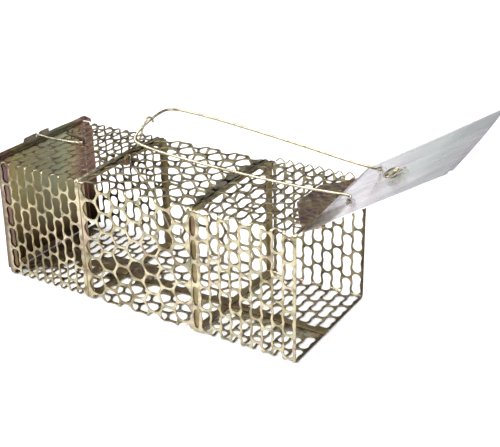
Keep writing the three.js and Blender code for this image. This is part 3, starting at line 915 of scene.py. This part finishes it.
def cover_cad_nodes(looks):
    """Gives the CAD nodes that stay visible their material."""
    slots = {s["node"]: s["material_slot"] for s in frame["record"]["subparts"]}
    for name, node in frame["nodes"].items():
        node.data.materials.clear()
        node.data.materials.append(looks[slots[name]])
        node.data.shade_smooth()
        node.data.set_sharp_from_angle(angle=math.radians(38))


# ------------------------------------------------------------------ stage, light, camera


def camera_only(obj):
    """Leaves an object out of reflections, light and shadow."""
    obj.visible_glossy = False
    obj.visible_diffuse = False
    obj.visible_transmission = False
    obj.visible_shadow = False


def plain_material(name, colour, glow=0.0):
    look = Look(name, 0.9, 0.0)
    speckle = look.ramp(look.noise(3, 2), (0.3, 0.985), (0.7, 1.0))
    look.colour(look.mix(1.0, colour, speckle, "MULTIPLY"))
    look.feed(look.shader.inputs["Emission Color"], (1, 1, 1, 1))
    look.shader.inputs["Emission Strength"].default_value = glow
    return look.material


def add_stage():
    bpy.ops.mesh.primitive_plane_add(size=5, location=(0, 0, -0.0004))
    floor = bpy.context.object
    floor.name = "floor"
    floor.data.materials.append(plain_material("floor_white", (0.93, 0.93, 0.93), glow=0.1))
    bpy.ops.mesh.primitive_uv_sphere_add(radius=6, segments=48, ring_count=24)
    dome = bpy.context.object
    dome.name = "backdrop"
    dome.data.materials.append(plain_material("backdrop_white", (0, 0, 0), glow=1.0))
    camera_only(dome)


def add_area_light(name, place, target, size, power):
    data = bpy.data.lights.new(name, "AREA")
    data.shape = "RECTANGLE"
    data.size, data.size_y = size
    data.energy = power
    light = new_object(name, data)
    light.location = place
    direction = Vector(target) - Vector(place)
    light.rotation_euler = direction.to_track_quat("-Z", "Y").to_euler()


def add_light():
    world = bpy.data.worlds.new("studio")
    bpy.context.scene.world = world
    world.use_nodes = True
    tree = world.node_tree
    coordinate = tree.nodes.new("ShaderNodeTexCoord")
    split = tree.nodes.new("ShaderNodeSeparateXYZ")
    ramp = tree.nodes.new("ShaderNodeValToRGB")
    tree.links.new(coordinate.outputs["Generated"], split.inputs[0])
    tree.links.new(split.outputs[2], ramp.inputs[0])
    elements = ramp.color_ramp.elements
    elements[0].position, elements[0].color = 0.0, (0.30, 0.30, 0.31, 1)
    elements[1].position, elements[1].color = 1.0, (0.95, 0.95, 0.95, 1)
    middle = elements.new(0.55)
    middle.color = (0.25, 0.25, 0.26, 1)
    tree.links.new(ramp.outputs[0], tree.nodes["Background"].inputs[0])
    tree.nodes["Background"].inputs[1].default_value = 0.9
    target = (0, 0, 0.06)
    add_area_light("key", (-0.8, -1.3, 1.5), target, (1.1, 1.1), 34)
    add_area_light("top", (0.1, 0.2, 1.9), target, (2.0, 1.6), 34)
    add_area_light("side", (1.6, -0.5, 0.8), target, (0.8, 1.2), 12)


CAMERA_PLACE = (0.49436, -0.66941, 0.45905)  # in metres
CAMERA_ANGLES = (31.872, 25.45, -1.021)  # azimuth, elevation and roll, in degrees


def add_camera():
    azimuth, elevation, roll = (math.radians(a) for a in CAMERA_ANGLES)
    back = Vector((
        math.sin(azimuth) * math.cos(elevation),
        -math.cos(azimuth) * math.cos(elevation),
        math.sin(elevation),
    ))
    right = Vector((math.cos(azimuth), math.sin(azimuth), 0))
    up = back.cross(right)
    x_axis = right * math.cos(roll) + up * math.sin(roll)
    y_axis = up * math.cos(roll) - right * math.sin(roll)
    data = bpy.data.cameras.new("camera")
    data.lens = 70.61
    data.sensor_width = 36
    data.sensor_fit = "HORIZONTAL"
    camera = new_object("camera", data)
    turn = Matrix((x_axis, y_axis, back)).transposed().to_4x4()
    camera.matrix_world = Matrix.Translation(CAMERA_PLACE) @ turn
    bpy.context.scene.camera = camera


# ------------------------------------------------------------------ assembly

looks = {
    "chromated_mesh": chromated_mesh_look(),
    # The second material of each band: painted shade on its cut edges and tucked margins.
    "painted_shade_edge": painted_shade_edge_look(),
    "chromated_sheet": dark_sheet_look(),
    "end_wall": end_wall_look(),
    "gold_wire": gold_wire_look(),
    "galvanised": galvanised_look(),
}
cover_cad_nodes(looks)
for make, looks_used in (
    (rear_band, ("chromated_mesh", "painted_shade_edge")),
    (middle_band, ("chromated_mesh", "painted_shade_edge")),
    (front_band, ("chromated_mesh", "painted_shade_edge")),
    (add_prongs, ("chromated_mesh",)),
    (add_door_hem, ("galvanised",)),
    (add_end_wall_bead, ("gold_wire",)),
    (add_rear_door, ("end_wall",)),
    (add_rear_knuckle, ("end_wall",)),
    (add_door_plate, ("galvanised",)),
    (add_door_clip, ("gold_wire",)),
    (add_lock_loop, ("gold_wire",)),
    (add_trigger, ("gold_wire",)),
    (add_latch, ("gold_wire",)),
):
    piece = make()
    for look_name in looks_used:
        piece.data.materials.append(looks[look_name])
add_stage()
add_light()
add_camera()
bpy.context.scene.view_settings.view_transform = "Standard"
